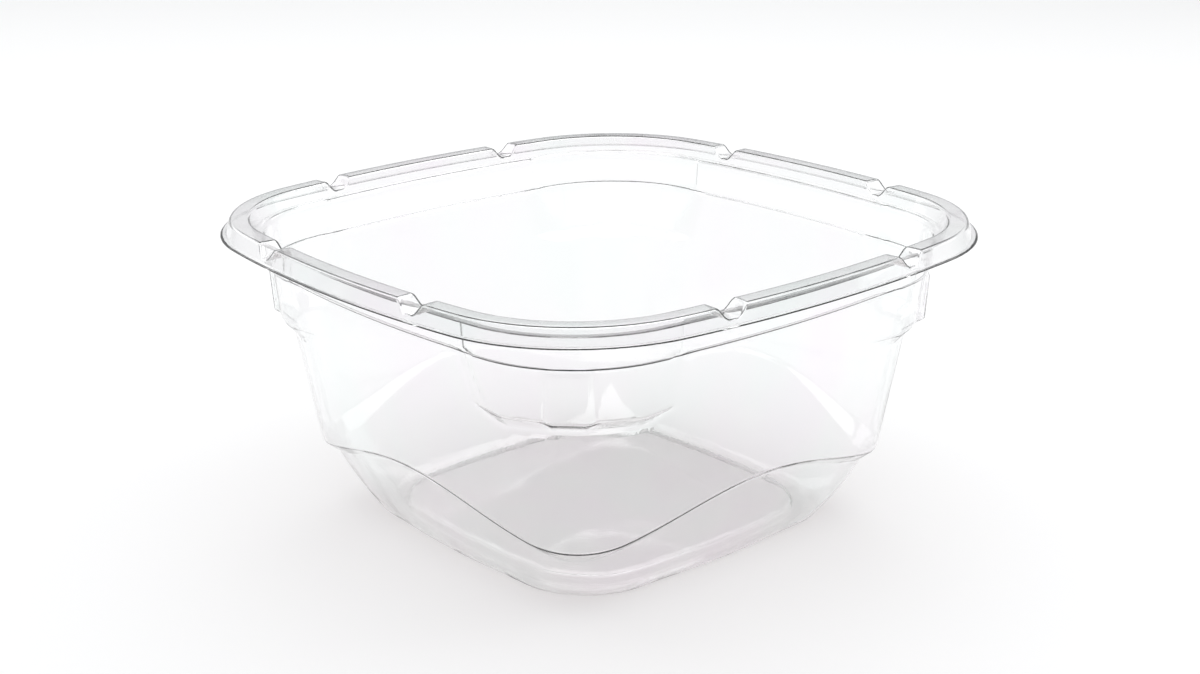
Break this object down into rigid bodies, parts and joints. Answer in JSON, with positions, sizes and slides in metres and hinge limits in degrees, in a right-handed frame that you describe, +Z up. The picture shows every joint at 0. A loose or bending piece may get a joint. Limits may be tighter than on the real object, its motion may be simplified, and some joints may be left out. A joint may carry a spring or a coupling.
{
  "type": "top seal bowl",
  "caption": "Clear thin-walled square food bowl with rounded corners, a raised notched sealing rim, corner stacking lugs and a tapering body with a wavy step above a small foot",
  "frame": {"origin": "centre of the foot, on the surface that the bowl stands on", "axes": "+Z up out of the mouth; the four sides face +X, +Y, -X and -Y; the picture looks at the corner between +X and -Y"},
  "size_m": [0.165, 0.165, 0.0793],
  "materials": {
    "clear_plastic": "clear glossy thermoformed PET"
  },
  "bodies": {
    "root": {"bowl": "clear_plastic"}
  },
  "joints": []
}
